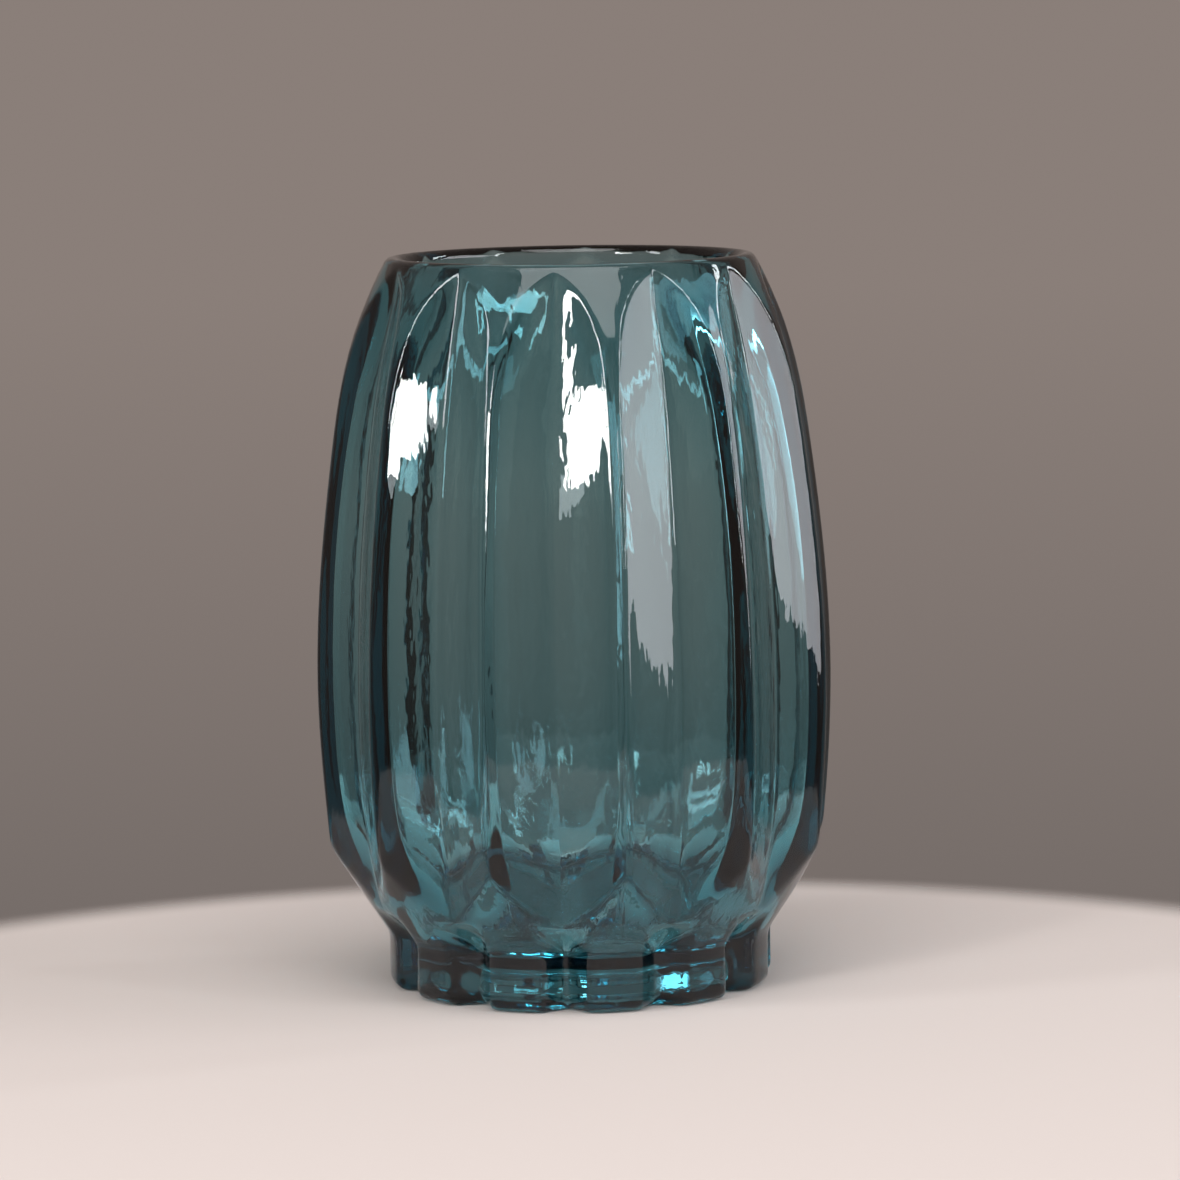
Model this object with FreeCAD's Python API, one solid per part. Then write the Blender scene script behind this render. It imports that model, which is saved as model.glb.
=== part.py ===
import FreeCAD, Part
import math
import os

# overall form, mm
HEIGHT = 200.0
RIB_COUNT = 12
PITCH = 360.0 / RIB_COUNT

# foot, the hollow under it and the cone above it, out to the ribs: (radius, height)
FOOT_RADIUS = 52.8
FOOT_ROUND = 3.0
FOOT_TOP = 14.6
HOLLOW_DEPTH = 10.5
HOLLOW_SIDE = [(42.6, 0.0), (41.7, 1.0), (40.4, 8.0)]
HOLLOW_CORNER = (39.7, 9.7)
HOLLOW_FLAT_RADIUS = 37.8
CONE_TOP = (67.0, 36.4)
SHOULDER_BEND = (68.7, 39.0)
SHOULDER = (69.3, 42.3)

# rib crowns of the barrel above the shoulder: (radius, height)
BARREL = [(71.7, 83.0), (66.6, 147.0), (57.9, 184.0)]

# round lip, which the barrel meets leaning inwards
RIM_RADIUS = 51.0
LIP_RADIUS = 2.6
LIP_LEAN = math.radians(31.0)

# flutes: two flat walls meeting in a crease, (radius, height) along the crease
CREASE = [
    (51.2, 202.0),
    (51.6, 194.5),
    (54.4, 182.0),
    (60.6, 147.0),
    (64.95, 83.0),
    (62.6, 40.5),
    (59.8, 25.0),
    (55.0, 8.0),
]
WALL_TILT = math.radians(15.0)
WALL_SPAN = 18.0
CUTTER_REACH = 20.0

# valleys between the foot lobes, widening up the cone to the ribs:
# (crease radius, lobe edge radius, lobe edge angle, height)
VALLEY = [
    (46.6, 52.8, 6.2, -1.0),
    (46.6, 52.8, 6.2, 14.6),
    (59.7, 60.4, 9.0, 24.6),
    (67.2, 70.0, 13.6, 40.5),
]
VALLEY_STRETCH = 1.6

# cavity from the lip down: (radius, height, share of the full flute depth on the inside)
BOWL = [
    (47.3, 190.0, 0.0),
    (51.2, 170.0, 0.74),
    (55.8, 147.0, 1.0),
    (60.2, 90.0, 1.0),
    (59.8, 70.0, 1.0),
    (57.5, 50.0, 1.0),
    (52.2, 33.0, 0.24),
    (48.3, 25.0, 0.0),
]
BOWL_HEEL = [(44.5, 19.0), (41.6, 16.0)]
FLOOR = 14.8
FLOOR_FLAT_RADIUS = 38.0
LIP_SLOPE = (0.3, -1.0)
FLOOR_SLOPE = (-1.0, 0.0)
INNER_RIB_DEPTH = 0.084
INNER_CREASE_SINK = 0.4


def point(radius, height, across=0.0):
    return FreeCAD.Vector(radius, across, height)


def spline(places, start=None, end=None):
    curve = Part.BSplineCurve()
    points = [point(*place) for place in places]
    if start and end:
        curve.interpolate(Points=points, InitialTangent=start, FinalTangent=end)
    else:
        curve.interpolate(Points=points)
    return curve.toShape()


def arc(first, middle, last):
    return Part.Arc(point(*first), point(*middle), point(*last)).toShape()


def line(first, last):
    return Part.makeLine(point(*first), point(*last))


def round_place(centre, radius, angle):
    """place on a rounding of the section, its angle measured up from outwards"""
    return (centre[0] + radius * math.cos(angle), centre[1] + radius * math.sin(angle))


def section():
    """half section of the vase through a rib crown, with a round cavity"""
    lip_centre = (RIM_RADIUS - LIP_RADIUS, HEIGHT - LIP_RADIUS)
    lip_out = round_place(lip_centre, LIP_RADIUS, LIP_LEAN)
    lip_top = round_place(lip_centre, LIP_RADIUS, math.pi / 2)
    lip_in = round_place(lip_centre, LIP_RADIUS, math.pi)
    heel_centre = (FOOT_RADIUS - FOOT_ROUND, FOOT_ROUND)
    heel_low = round_place(heel_centre, FOOT_ROUND, -math.pi / 2)
    heel_middle = round_place(heel_centre, FOOT_ROUND, -math.pi / 4)
    heel_side = round_place(heel_centre, FOOT_ROUND, 0.0)
    foot_top = (FOOT_RADIUS, FOOT_TOP)
    hollow_flat = (HOLLOW_FLAT_RADIUS, HOLLOW_DEPTH)
    floor_edge = (FLOOR_FLAT_RADIUS, FLOOR)
    bowl = [place[:2] for place in BOWL]
    edges = [
        line((0.0, HOLLOW_DEPTH), hollow_flat),
        arc(hollow_flat, HOLLOW_CORNER, HOLLOW_SIDE[2]),
        line(HOLLOW_SIDE[2], HOLLOW_SIDE[1]),
        line(HOLLOW_SIDE[1], HOLLOW_SIDE[0]),
        line(HOLLOW_SIDE[0], heel_low),
        arc(heel_low, heel_middle, heel_side),
        line(heel_side, foot_top),
        line(foot_top, CONE_TOP),
        arc(CONE_TOP, SHOULDER_BEND, SHOULDER),
        spline([SHOULDER] + BARREL + [lip_out]),
        arc(lip_out, lip_top, lip_in),
        spline([lip_in] + bowl + BOWL_HEEL + [floor_edge], point(*LIP_SLOPE), point(*FLOOR_SLOPE)),
        line(floor_edge, (0.0, FLOOR)),
        line((0.0, FLOOR), (0.0, HOLLOW_DEPTH)),
    ]
    return Part.Face(Part.Wire(edges))


def vee(crease_radius, height, wall_depth, half_width):
    """closed outline of a V-shaped cutter at one height, open side outwards"""
    wall_end = crease_radius + wall_depth
    outside = crease_radius + CUTTER_REACH
    corners = [
        point(crease_radius, height),
        point(wall_end, height, half_width),
        point(outside, height, half_width),
        point(outside, height, -half_width),
        point(wall_end, height, -half_width),
    ]
    return Part.makePolygon(corners + corners[:1])


def flute_cutter():
    depth = WALL_SPAN * math.tan(WALL_TILT)
    wires = [vee(radius, height, depth, WALL_SPAN) for radius, height in CREASE]
    return Part.makeLoft(wires, True, False)


def valley_cutter():
    wires = []
    for crease_radius, edge_radius, edge_angle, height in VALLEY:
        angle = math.radians(edge_angle)
        half_width = edge_radius * math.sin(angle)
        depth = edge_radius * math.cos(angle) - crease_radius
        wires.append(vee(crease_radius, height, depth * VALLEY_STRETCH, half_width * VALLEY_STRETCH))
    return Part.makeLoft(wires, True, True)


def star(radius, height, share):
    """closed outline of the fluted inside at one height, its points behind the ribs"""
    crease = radius - INNER_CREASE_SINK
    behind_rib = crease + radius * INNER_RIB_DEPTH * share
    corners = []
    for index in range(RIB_COUNT):
        for reach, steps in ((behind_rib, index), (crease, index + 0.5)):
            angle = math.radians(PITCH * steps)
            corners.append(FreeCAD.Vector(reach * math.cos(angle), reach * math.sin(angle), height))
    return Part.makePolygon(corners + corners[:1])


def inner_flutes():
    return Part.makeLoft([star(*place) for place in BOWL], True, False)


def glass_vase():
    axis = FreeCAD.Vector(0, 0, 1)
    origin = FreeCAD.Vector(0, 0, 0)
    body = section().revolve(origin, axis, 360)
    cutters = [inner_flutes()]
    for index in range(RIB_COUNT):
        for cutter in (flute_cutter(), valley_cutter()):
            cutters.append(cutter.rotate(origin, axis, PITCH * (index + 0.5)))
    return body.cut(cutters)


os.makedirs("parts", exist_ok=True)
vase = glass_vase()
vase.exportStep("parts/glass_vase.step")
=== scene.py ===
import math

import bpy
import numpy as np
from mathutils import Matrix, Quaternion, Vector


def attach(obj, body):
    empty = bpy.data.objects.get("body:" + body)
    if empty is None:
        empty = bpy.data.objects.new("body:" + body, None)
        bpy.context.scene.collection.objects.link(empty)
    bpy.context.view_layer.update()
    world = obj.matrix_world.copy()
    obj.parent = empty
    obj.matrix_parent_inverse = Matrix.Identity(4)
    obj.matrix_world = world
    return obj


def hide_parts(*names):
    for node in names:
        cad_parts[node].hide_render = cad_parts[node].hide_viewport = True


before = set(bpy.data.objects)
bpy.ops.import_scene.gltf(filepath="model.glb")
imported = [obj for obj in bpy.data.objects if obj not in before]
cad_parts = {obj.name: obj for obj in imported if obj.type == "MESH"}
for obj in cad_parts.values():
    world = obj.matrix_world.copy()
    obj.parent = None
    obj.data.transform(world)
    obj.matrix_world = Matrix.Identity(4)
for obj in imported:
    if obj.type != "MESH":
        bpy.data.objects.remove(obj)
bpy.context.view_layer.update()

# ---------------------------------------------------------------- the vase, millimetres
MM = 0.001
RIB_COUNT = 12
HALF_PITCH = math.pi / RIB_COUNT

FOOT_RADIUS = 52.8
FOOT_ROUND = 3.0
FOOT_TOP = 14.6
HEIGHT = 200.0
RIM_RADIUS = 51.0
LIP_RADIUS = 2.6
LIP_CENTRE = (HEIGHT - LIP_RADIUS, RIM_RADIUS - LIP_RADIUS)
LIP_LEAN = math.radians(31.0)
FLOOR = 14.8
FLOOR_FLAT_RADIUS = 38.0
HOLLOW_DEPTH = 10.5

# (height, radius) along the rib crowns, the flutes' creases, the valleys above the foot and the cavity
LIP_START = (LIP_CENTRE[0] + LIP_RADIUS * math.sin(LIP_LEAN), LIP_CENTRE[1] + LIP_RADIUS * math.cos(LIP_LEAN))
# the cone's line runs on down inside the foot, so that the two meet in a clean corner
CONE_START = (FOOT_TOP - 12.0, FOOT_RADIUS - 7.8)
CONE = [CONE_START, (FOOT_TOP, FOOT_RADIUS), (36.4, 67.0)]
CROWN = [(42.3, 69.3), (83.0, 71.7), (147.0, 66.6), (184.0, 57.9), LIP_START]
CREASE = [
    (8.0, 55.0), (25.0, 59.8), (40.5, 62.6), (83.0, 64.95),
    (147.0, 60.6), (182.0, 54.4), (194.5, 51.6), (202.0, 51.2),
]
VALLEY = [(FOOT_TOP, 46.6), (24.6, 59.7), (40.5, 67.2)]
VALLEY_EDGE_RADIUS = [(FOOT_TOP, FOOT_RADIUS), (24.6, 60.4), (40.5, 70.0)]
VALLEY_EDGE_ANGLE = [(FOOT_TOP, 6.2), (24.6, 9.0), (40.5, 13.6)]
CAVITY = [
    (197.4, 45.8), (190.0, 47.3), (170.0, 51.2), (147.0, 55.8), (90.0, 60.2), (70.0, 59.8),
    (50.0, 57.5), (33.0, 52.2), (25.0, 48.3), (19.0, 44.5), (16.0, 41.6), (FLOOR, FLOOR_FLAT_RADIUS),
]
UNDERSIDE = [
    (0.0, 42.6), (1.0, 41.8), (4.0, 41.2), (8.0, 40.4), (9.8, 39.0),
    (10.3, 36.5), (10.45, 24.0), (HOLLOW_DEPTH, 12.0),
]

# flute walls and rib edges: angles round the axis, and how softly the surfaces meet
WALL_TILT = math.radians(15.0)
WALL_ANGLE_LIMIT = 1.4
RIB_EDGE = math.radians(13.45)
EDGE_SOFTNESS = 0.8
BEVEL_SOFTNESS = 1.7
WALL_HOLLOW = math.radians(4.0)
CREASE_SOFTNESS = math.radians(1.2)
BEND_SOFTNESS = 1.4
INNER_TILT = math.radians(13.0)
INNER_FADE = [(25.0, 0.0), (50.0, 1.0), (160.0, 1.0), (190.0, 0.0)]
INNER_SOFTNESS = math.radians(2.0)

# mould seams: how proud they stand, the height and length of their fade at each end
SEAM_HEIGHT = 0.18
SEAM_START, SEAM_START_FADE = 1.0, 3.0
SEAM_END, SEAM_END_FADE = 185.0, 40.0
ON_SEAM = 1e-6


def smooth_curve(stations):
    """natural cubic through (position, value) stations, straight beyond its ends"""
    x, y = (np.array(column, float) for column in zip(*sorted(stations)))
    gap = np.diff(x)
    slope = np.diff(y) / gap
    size = len(x)
    matrix = np.eye(size)
    right = np.zeros(size)
    for i in range(1, size - 1):
        matrix[i, i - 1:i + 2] = gap[i - 1], 2 * (gap[i - 1] + gap[i]), gap[i]
        right[i] = 6 * (slope[i] - slope[i - 1])
    bend = np.linalg.solve(matrix, right)
    first = slope[0] - gap[0] * bend[1] / 6
    last = slope[-1] + gap[-1] * bend[-2] / 6

    def curve(at):
        at = np.asarray(at, float)
        inside = np.clip(at, x[0], x[-1])
        i = np.clip(np.searchsorted(x, inside) - 1, 0, size - 2)
        b = (inside - x[i]) / gap[i]
        a = 1 - b
        value = a * y[i] + b * y[i + 1] + ((a**3 - a) * bend[i] + (b**3 - b) * bend[i + 1]) * gap[i]**2 / 6
        return value + first * np.minimum(at - x[0], 0) + last * np.maximum(at - x[-1], 0)

    return curve


def straight_curve(stations):
    """straight pieces through (position, value) stations, running on straight at the top"""
    x, y = (np.array(column, float) for column in zip(*stations))
    last = (y[-1] - y[-2]) / (x[-1] - x[-2])

    def curve(at):
        return np.interp(at, x, y) + last * np.maximum(np.asarray(at, float) - x[-1], 0)

    return curve


def soft_min(a, b, softness):
    overlap = np.maximum(softness - np.abs(a - b), 0) / softness
    return np.minimum(a, b) - overlap**2 * softness / 4


def soft_max(a, b, softness):
    return -soft_min(-a, -b, softness)


barrel = smooth_curve(CROWN)
cone = straight_curve(CONE)
crease = smooth_curve(CREASE)
valley = straight_curve(VALLEY)
valley_edge_radius = straight_curve(VALLEY_EDGE_RADIUS)
valley_edge_angle = straight_curve(VALLEY_EDGE_ANGLE)


def crown_radius(z):
    """radius of the rib crowns at a height"""
    foot = soft_max(cone(z), FOOT_RADIUS, BEND_SOFTNESS)
    return soft_min(foot, barrel(z), BEND_SOFTNESS)


def wall_radius(angle, apex, tilt):
    """radius of a flat wall that leaves a crease at the apex radius, tilted back from square"""
    return apex * np.cos(tilt) / np.cos(np.minimum(angle + tilt, WALL_ANGLE_LIMIT))


def flute_radius(angle, z):
    across = np.clip(angle / RIB_EDGE, 0, 1)
    return wall_radius(angle, crease(z), WALL_TILT + WALL_HOLLOW * (across - 0.5) * across)


def valley_radius(angle, z):
    edge = np.radians(valley_edge_angle(z))
    reach = valley_edge_radius(z)
    tilt = np.arctan2(reach * np.cos(edge) - valley(z), reach * np.sin(edge))
    return wall_radius(angle, valley(z), tilt)


def outer_radius(angle, z):
    """radius of the outside at an angle from the nearest crease and a height"""
    soft = np.sqrt(angle**2 + CREASE_SOFTNESS**2) - CREASE_SOFTNESS
    cut = soft_min(flute_radius(soft, z), valley_radius(soft, z), BEVEL_SOFTNESS)
    return soft_min(crown_radius(z), cut, EDGE_SOFTNESS)


def inner_radius(angle, z, apex):
    """radius of the inside, which follows the flutes more softly than the outside does"""
    soft = np.sqrt(angle**2 + INNER_SOFTNESS**2) - INNER_SOFTNESS
    from_rib = HALF_PITCH - soft
    soft = HALF_PITCH - np.sqrt(from_rib**2 + INNER_SOFTNESS**2)
    fade = np.interp(z, *zip(*INNER_FADE))
    share = fade**2 * (3 - 2 * fade)
    return apex + share * (wall_radius(np.maximum(soft, 0), apex, INNER_TILT) - apex)


def sampled(stations, count):
    """count points along a smooth line through (height, radius) stations, without its first one"""
    reach = np.concatenate([[0], np.cumsum([math.dist(a, b) for a, b in zip(stations, stations[1:])])])
    height = smooth_curve(list(zip(reach, [z for z, _ in stations])))
    radius = smooth_curve(list(zip(reach, [r for _, r in stations])))
    along = np.linspace(0, reach[-1], count + 1)
    return [(float(height(s)), float(radius(s))) for s in along[1:]]


# ---------------------------------------------------------------- the grid of the mesh
# steps across half a flute (0 at the crease, 1 at the rib's edge) and half a rib crown (1 to 2)
FLUTE_STEPS = [0, .025, .06, .11, .18, .27, .36, .45, .54, .63, .72, .80, .87, .92, .955, .98]
CROWN_STEPS = [1, 1.04, 1.12, 1.3, 1.5, 1.7, 1.88, 2]

# heights that the rows of the outside follow: flute tips, shoulder, plain barrel and pointed arches
TIP_SEARCH = (20.0, 41.0)
KINK = 39.8
BARREL_START, BARREL_END = 62.0, 148.0
ARCH_SEARCH = (150.0, 199.0)
ARCH_LOWEST = 158.0
ARCH_MARGIN = 1.2
HALVINGS = 30

# rows in each band of the outside, and how far they crowd towards its low and its high end
BAND_ROWS = [(9, 1, 1.5), (20, 1.3, 1.3), (16, 1.8, 1), (16, 1, 1), (16, 1, 1.6), (10, 1.6, 1)]
UNDERSIDE_ROWS = 16
HEEL_TURNS = np.radians([0, 18, 36, 54, 72])
LIP_ROWS = 14
CAVITY_ROWS = 50
FLOOR_RINGS = (28.0, 20.0, 12.0, 5.0)


def edge_angle(z):
    """angle of the rib's or lobe's edge from the crease, which the columns of the mesh follow"""
    return np.minimum(np.radians(valley_edge_angle(z)), RIB_EDGE)


def column_angle(step, z):
    edge = edge_angle(z)
    return np.where(step <= 1, step * edge, edge + (step - 1) * (HALF_PITCH - edge))


def meeting_height(step, low, high, gap):
    """height between low and high where gap(angle, z) changes sign, for each column"""
    low = np.full_like(step, low)
    high = np.full_like(step, high)
    for _ in range(HALVINGS):
        middle = (low + high) / 2
        above = gap(column_angle(step, middle), middle) > 0
        high = np.where(above, middle, high)
        low = np.where(above, low, middle)
    return (low + high) / 2


def spread(count, pull_low=1.0, pull_high=1.0):
    """count fractions after 0 up to 1, closer together towards an end whose pull is over 1"""
    t = np.linspace(0, 1, count + 1)[1:]
    low = t**pull_low
    high = 1 - (1 - t)**pull_high
    return low * (1 - t) + high * t


def columns():
    """for each column: its flute's middle angle, its side of the crease and its step"""
    half = np.array(FLUTE_STEPS + CROWN_STEPS, float)
    step = np.concatenate([-half[:0:-1], half[:-1]])
    side = np.sign(step)
    middle = (np.arange(RIB_COUNT) + 0.5) * 2 * HALF_PITCH
    return np.repeat(middle, len(step)), np.tile(side, RIB_COUNT), np.tile(np.abs(step), RIB_COUNT)


def outside_heights(step):
    """rows of heights from the foot's bottom to the lip, bent to follow the ends of the flutes"""
    across = np.minimum(step, 1)
    level = np.ones_like(step)
    tip = meeting_height(across, *TIP_SEARCH, lambda a, z: valley_radius(a, z) - flute_radius(a, z))
    tip = np.where(step > 1, KINK, np.minimum(tip, KINK))
    arch = meeting_height(across, *ARCH_SEARCH, lambda a, z: flute_radius(a, z) - crown_radius(z))
    arch = np.clip(arch, ARCH_LOWEST, LIP_START[0] - ARCH_MARGIN)
    edges = [
        FOOT_ROUND * level, FOOT_TOP * level, tip, BARREL_START * level,
        BARREL_END * level, arch, LIP_START[0] * level,
    ]
    rows = [edges[0]]
    for low, high, crowding in zip(edges, edges[1:], BAND_ROWS):
        rows += [low + (high - low) * share for share in spread(*crowding)]
    return rows


def seam(z, theta):
    """the two mould seams, a fine ridge on the front rib and the back rib"""
    start = np.clip((z - SEAM_START) / SEAM_START_FADE, 0, 1)
    end = np.clip((SEAM_END - z) / SEAM_END_FADE, 0, 1)
    return SEAM_HEIGHT * start * end * (np.abs(np.cos(theta)) < ON_SEAM)


def vase_points():
    """rows of (radius, angle, height) from the middle of the underside to the middle of the floor inside"""
    middle, side, step = columns()
    rows = []

    def add(z, radius_of):
        angle = column_angle(step, z)
        theta = middle + side * angle
        rows.append((radius_of(angle, z, theta), theta, z))

    level = np.ones_like(step)
    for height, radius in reversed(sampled(UNDERSIDE, UNDERSIDE_ROWS)):
        add(max(height, 0.0) * level, lambda a, z, th, r=radius: r * level)
    for turn in HEEL_TURNS:
        z = FOOT_ROUND * (1 - math.cos(turn)) * level
        inset = FOOT_ROUND * (1 - math.sin(turn))
        add(z, lambda a, z, th, i=inset: outer_radius(a, FOOT_ROUND * level) - i)
    for z in outside_heights(step):
        add(z, lambda a, z, th: outer_radius(a, z) + seam(z, th))
    for turn in np.linspace(LIP_LEAN, math.pi, LIP_ROWS)[1:]:
        z = (LIP_CENTRE[0] + LIP_RADIUS * math.sin(turn)) * level
        radius = LIP_CENTRE[1] + LIP_RADIUS * math.cos(turn)
        add(z, lambda a, z, th, r=radius: r * level)
    for height, apex in sampled(CAVITY, CAVITY_ROWS):
        add(max(height, FLOOR) * level, lambda a, z, th, r=apex: inner_radius(a, z, r))
    for radius in FLOOR_RINGS:
        add(FLOOR * level, lambda a, z, th, r=radius: r * level)
    return rows


def vase_mesh():
    rows = vase_points()
    wide = len(rows[0][0])
    radius, theta, z = (np.array([row[i] for row in rows]) for i in range(3))
    points = np.stack([radius * np.cos(theta), radius * np.sin(theta), z], axis=-1).reshape(-1, 3)
    ends = [(0, 0, HOLLOW_DEPTH), (0, 0, FLOOR)]
    points = np.concatenate([points, ends]) * MM
    first = np.arange(wide)
    after = np.roll(first, -1)
    faces = []
    for row in range(len(rows) - 1):
        low, high = row * wide, (row + 1) * wide
        faces += np.stack([low + first, low + after, high + after, high + first], axis=1).tolist()
    top = (len(rows) - 1) * wide
    bottom_point, floor_point = len(points) - 2, len(points) - 1
    faces += [(bottom_point, int(b), int(a)) for a, b in zip(first, after)]
    faces += [(floor_point, int(top + a), int(top + b)) for a, b in zip(first, after)]
    mesh = bpy.data.meshes.new("vase_glass")
    mesh.from_pydata(points.tolist(), [], faces)
    mesh.validate()
    mesh.polygons.foreach_set("use_smooth", [True] * len(mesh.polygons))
    mesh.update()
    return mesh


# ---------------------------------------------------------------- materials, the glass's density per metre
GLASS_IOR = 1.52
GLASS_TINT = (0.0, 0.57, 0.65, 1.0)
GLASS_DENSITY = 124.0
RIPPLE_STRETCH = (1.0, 1.0, 0.28)
RIPPLE_SCALE = 140.0
RIPPLE_DETAIL = 3.0
RIPPLE_STRENGTH = 0.45
RIPPLE_DEPTH = 0.0004
FLOOR_COLOUR = (0.68, 0.61, 0.58, 1.0)


def new_material(name):
    material = bpy.data.materials.new(name)
    material.use_nodes = True
    material.node_tree.nodes.clear()
    return material, material.node_tree.nodes, material.node_tree.links


def glass_material():
    """petrol-blue pressed glass: colour from its depth, a faint ripple left by the mould"""
    material, nodes, links = new_material("petrol_glass")
    output = nodes.new("ShaderNodeOutputMaterial")
    shader = nodes.new("ShaderNodeBsdfPrincipled")
    shader.inputs["Base Color"].default_value = (1.0, 1.0, 1.0, 1.0)
    shader.inputs["Transmission Weight"].default_value = 1.0
    shader.inputs["IOR"].default_value = GLASS_IOR
    shader.inputs["Roughness"].default_value = 0.0
    links.new(shader.outputs["BSDF"], output.inputs["Surface"])
    depth = nodes.new("ShaderNodeVolumeAbsorption")
    depth.inputs["Color"].default_value = GLASS_TINT
    depth.inputs["Density"].default_value = GLASS_DENSITY
    links.new(depth.outputs["Volume"], output.inputs["Volume"])
    place = nodes.new("ShaderNodeTexCoord")
    stretch = nodes.new("ShaderNodeMapping")
    stretch.inputs["Scale"].default_value = RIPPLE_STRETCH
    links.new(place.outputs["Object"], stretch.inputs["Vector"])
    ripple = nodes.new("ShaderNodeTexNoise")
    ripple.inputs["Scale"].default_value = RIPPLE_SCALE
    ripple.inputs["Detail"].default_value = RIPPLE_DETAIL
    links.new(stretch.outputs["Vector"], ripple.inputs["Vector"])
    bump = nodes.new("ShaderNodeBump")
    bump.inputs["Strength"].default_value = RIPPLE_STRENGTH
    bump.inputs["Distance"].default_value = RIPPLE_DEPTH
    links.new(ripple.outputs["Fac"], bump.inputs["Height"])
    links.new(bump.outputs["Normal"], shader.inputs["Normal"])
    return material


def floor_material():
    """pale plaster that fades out at a distance, so that the floor has no hard edge"""
    material, nodes, links = new_material("stage_floor")
    output = nodes.new("ShaderNodeOutputMaterial")
    shader = nodes.new("ShaderNodeBsdfDiffuse")
    shader.inputs["Color"].default_value = FLOOR_COLOUR
    clear = nodes.new("ShaderNodeBsdfTransparent")
    mix = nodes.new("ShaderNodeMixShader")
    place = nodes.new("ShaderNodeTexCoord")
    shift = nodes.new("ShaderNodeVectorMath")
    shift.operation = "SUBTRACT"
    shift.inputs[1].default_value = around(0, 0, FLOOR_FORWARD, 0)
    length = nodes.new("ShaderNodeVectorMath")
    length.operation = "LENGTH"
    fade = nodes.new("ShaderNodeMapRange")
    fade.interpolation_type = "SMOOTHSTEP"
    fade.inputs["From Min"].default_value = FLOOR_FADE[0]
    fade.inputs["From Max"].default_value = FLOOR_FADE[1]
    links.new(place.outputs["Object"], shift.inputs[0])
    links.new(shift.outputs["Vector"], length.inputs[0])
    links.new(length.outputs["Value"], fade.inputs["Value"])
    links.new(fade.outputs["Result"], mix.inputs["Fac"])
    links.new(shader.outputs["BSDF"], mix.inputs[1])
    links.new(clear.outputs["BSDF"], mix.inputs[2])
    links.new(mix.outputs["Shader"], output.inputs["Surface"])
    return material


# ---------------------------------------------------------------- stage, lights and camera, metres
FLOOR_FADE = (0.265, 0.295)
FLOOR_FORWARD = 0.13
FLOOR_EDGE = 0.6
FLOOR_SIDES = 96
FLOOR_DROP = 0.0002

# the surroundings' brightness between a little below and a little above eye level
SKY_SPAN = 0.2
SKY_LOW = (0.05, (0.180, 0.153, 0.141, 1.0))
SKY_HIGH = (0.35, (0.254, 0.211, 0.191, 1.0))

CAMERA_AZIMUTH = math.radians(-10.15)
CAMERA_PITCH = math.radians(6.8)
CAMERA_ROLL = math.radians(-0.91)
CAMERA_DISTANCE = 1.404
CAMERA_AIM_HEIGHT = 0.1078
CAMERA_AIM_SIDE = 0.0041
CAMERA_LENS = 156.0
CAMERA_SENSOR = 36.0

LIGHT_AIM = 0.1
WHITE = (1.0, 1.0, 1.0)
WARM = (1.0, 0.99, 0.97)
BLUISH = (0.95, 0.95, 1.0)
CYAN = (0.85, 0.97, 1.0)
PALE_CYAN = (0.95, 0.98, 1.0)
COLD = (0.92, 0.98, 1.0)

# name, azimuth from the camera and elevation in degrees, distance, width, height, radiance, colour,
# outline, and how far the light is rolled about its own aim, in degrees
LIGHTS = [
    ("softbox_left", -39, 12.2, 1.7, 0.42, 0.24, 22.0, WARM, "ELLIPSE", -20),
    ("softbox_left_upper", -34.5, 21, 1.7, 0.1, 0.5, 26.0, WARM, "ELLIPSE", 0),
    ("softbox_left_fade", -39, 9.8, 1.7, 0.6, 0.1, 4.0, CYAN, "ELLIPSE", -20),
    ("strip_left", -64, 24, 1.7, 0.2, 0.8, 12.0, PALE_CYAN, "RECTANGLE", 0),
    ("softbox_right", 82, 13.5, 1.7, 1.0, 0.95, 4.9, BLUISH, "RECTANGLE", 25),
    ("strip_right", 54, 20, 1.7, 0.12, 1.0, 14.0, COLD, "RECTANGLE", 0),
    ("strip_right_far", 110, 22, 1.7, 0.12, 0.8, 12.0, COLD, "RECTANGLE", 0),
    ("softbox_top", 0, 60, 1.5, 1.2, 1.1, 3.3, WHITE, "RECTANGLE", 0),
]


def add_vase():
    piece = bpy.data.objects.new("vase_glass", vase_mesh())
    bpy.context.scene.collection.objects.link(piece)
    piece.data.materials.append(glass_material())
    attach(piece, "root")
    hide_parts("glass_vase")


def add_floor():
    angles = np.linspace(0, 2 * math.pi, FLOOR_SIDES, endpoint=False)
    rim = [(FLOOR_EDGE * math.cos(a), FLOOR_EDGE * math.sin(a), -FLOOR_DROP) for a in angles]
    mesh = bpy.data.meshes.new("stage_floor")
    mesh.from_pydata(rim, [], [list(range(FLOOR_SIDES))])
    floor = bpy.data.objects.new("stage_floor", mesh)
    floor.data.materials.append(floor_material())
    bpy.context.scene.collection.objects.link(floor)


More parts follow.
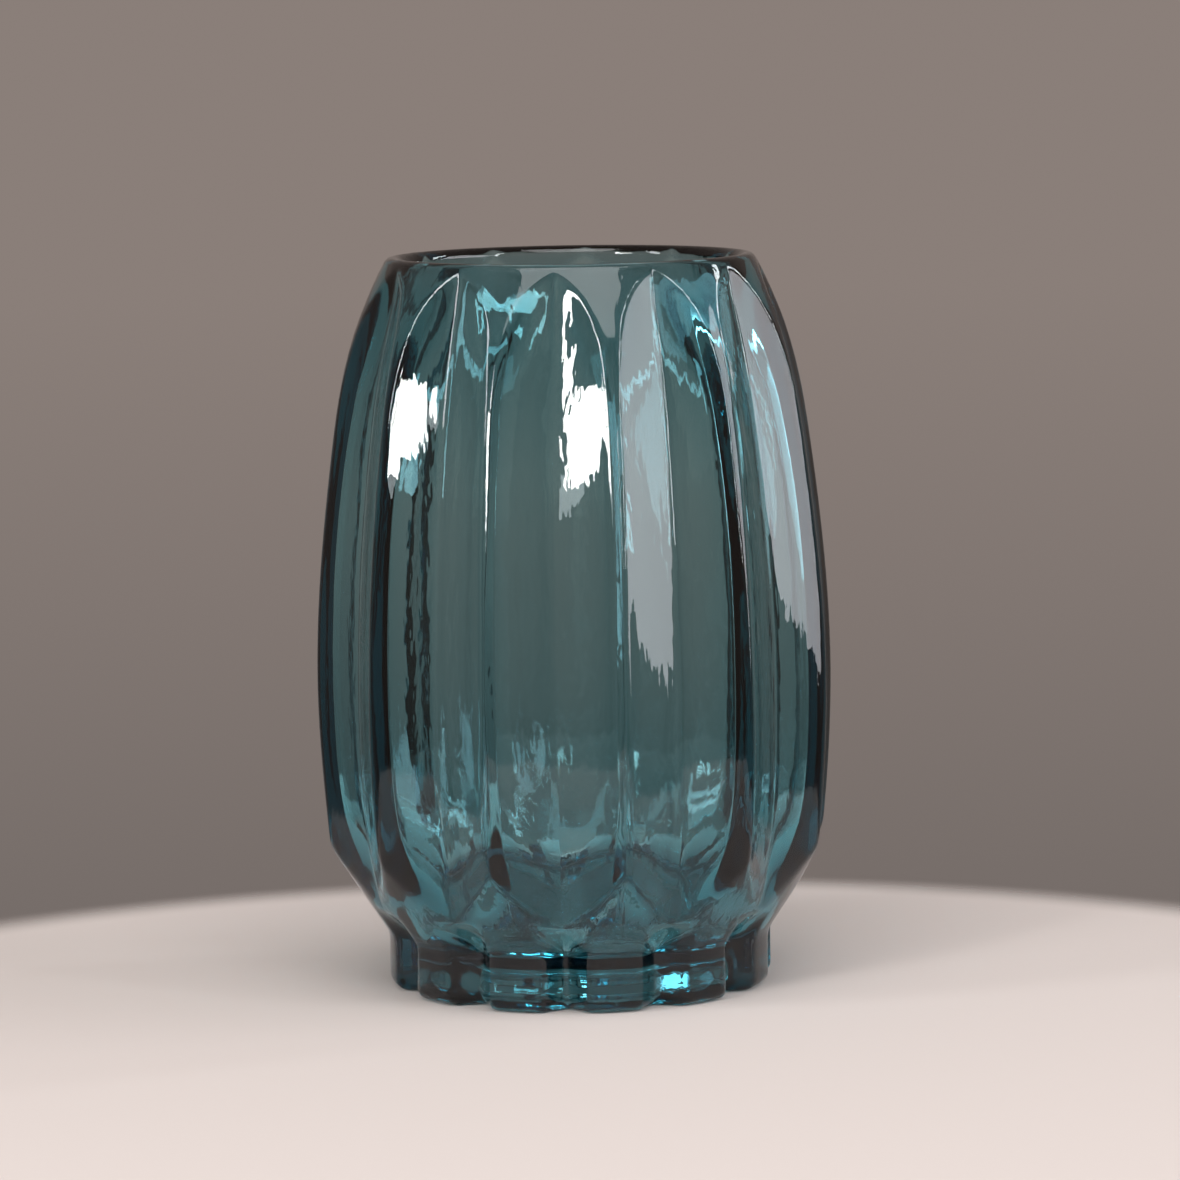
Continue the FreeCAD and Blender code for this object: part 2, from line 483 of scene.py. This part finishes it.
def add_world():
    """warm grey surroundings, a little lighter towards eye level"""
    world = bpy.data.worlds.new("studio")
    world.use_nodes = True
    bpy.context.scene.world = world
    nodes, links = world.node_tree.nodes, world.node_tree.links
    nodes.clear()
    output = nodes.new("ShaderNodeOutputWorld")
    background = nodes.new("ShaderNodeBackground")
    ramp = nodes.new("ShaderNodeValToRGB")
    split = nodes.new("ShaderNodeSeparateXYZ")
    place = nodes.new("ShaderNodeTexCoord")
    scale = nodes.new("ShaderNodeMapRange")
    scale.inputs["From Min"].default_value = -SKY_SPAN
    scale.inputs["From Max"].default_value = SKY_SPAN
    links.new(place.outputs["Generated"], split.inputs["Vector"])
    links.new(split.outputs["Z"], scale.inputs["Value"])
    links.new(scale.outputs["Result"], ramp.inputs["Fac"])
    links.new(ramp.outputs["Color"], background.inputs["Color"])
    links.new(background.outputs["Background"], output.inputs["Surface"])
    low, high = ramp.color_ramp.elements
    low.position, low.color = SKY_LOW
    high.position, high.color = SKY_HIGH


def around(azimuth, elevation, distance, height=LIGHT_AIM):
    """a point seen from the vase at an azimuth from the camera's direction, positive to its right"""
    angle = CAMERA_AZIMUTH + math.radians(azimuth)
    rise = math.radians(elevation)
    flat = distance * math.cos(rise)
    return Vector((flat * math.sin(angle), -flat * math.cos(angle), height + distance * math.sin(rise)))


def add_light(name, azimuth, elevation, distance, width, height, radiance, colour, shape, roll):
    light = bpy.data.lights.new(name, "AREA")
    light.shape = shape
    light.size = width
    light.size_y = height
    light.energy = radiance * math.pi * width * height
    light.color = colour
    place = bpy.data.objects.new(name, light)
    place.location = around(azimuth, elevation, distance)
    facing = (Vector((0, 0, LIGHT_AIM)) - place.location).to_track_quat("-Z", "Y")
    place.rotation_euler = (facing @ Quaternion((0, 0, 1), math.radians(roll))).to_euler()
    place.visible_camera = False
    bpy.context.scene.collection.objects.link(place)


def turned(first, second, angle):
    """two square directions turned by an angle, the first one towards the second"""
    toward = first * math.cos(angle) + second * math.sin(angle)
    return toward, second * math.cos(angle) - first * math.sin(angle)


def add_camera():
    camera = bpy.data.objects.new("camera", bpy.data.cameras.new("camera"))
    camera.data.lens = CAMERA_LENS
    camera.data.sensor_width = CAMERA_SENSOR
    ahead = Vector((-math.sin(CAMERA_AZIMUTH), math.cos(CAMERA_AZIMUTH), 0))
    right = Vector((ahead.y, -ahead.x, 0))
    forward = ahead * math.cos(CAMERA_PITCH) - Vector((0, 0, math.sin(CAMERA_PITCH)))
    up = right.cross(forward)
    place = Vector((0, 0, CAMERA_AIM_HEIGHT)) - forward * CAMERA_DISTANCE
    turn = CAMERA_AIM_SIDE / CAMERA_DISTANCE
    forward, right = turned(forward, right, turn)
    right, up = turned(right, up, CAMERA_ROLL)
    axes = Matrix((right, up, -forward)).transposed().to_4x4()
    camera.matrix_world = Matrix.Translation(place) @ axes
    bpy.context.scene.collection.objects.link(camera)
    bpy.context.scene.camera = camera


add_camera()
add_world()
add_vase()
add_floor()
for light in LIGHTS:
    add_light(*light)
bpy.context.scene.view_settings.view_transform = "Standard"
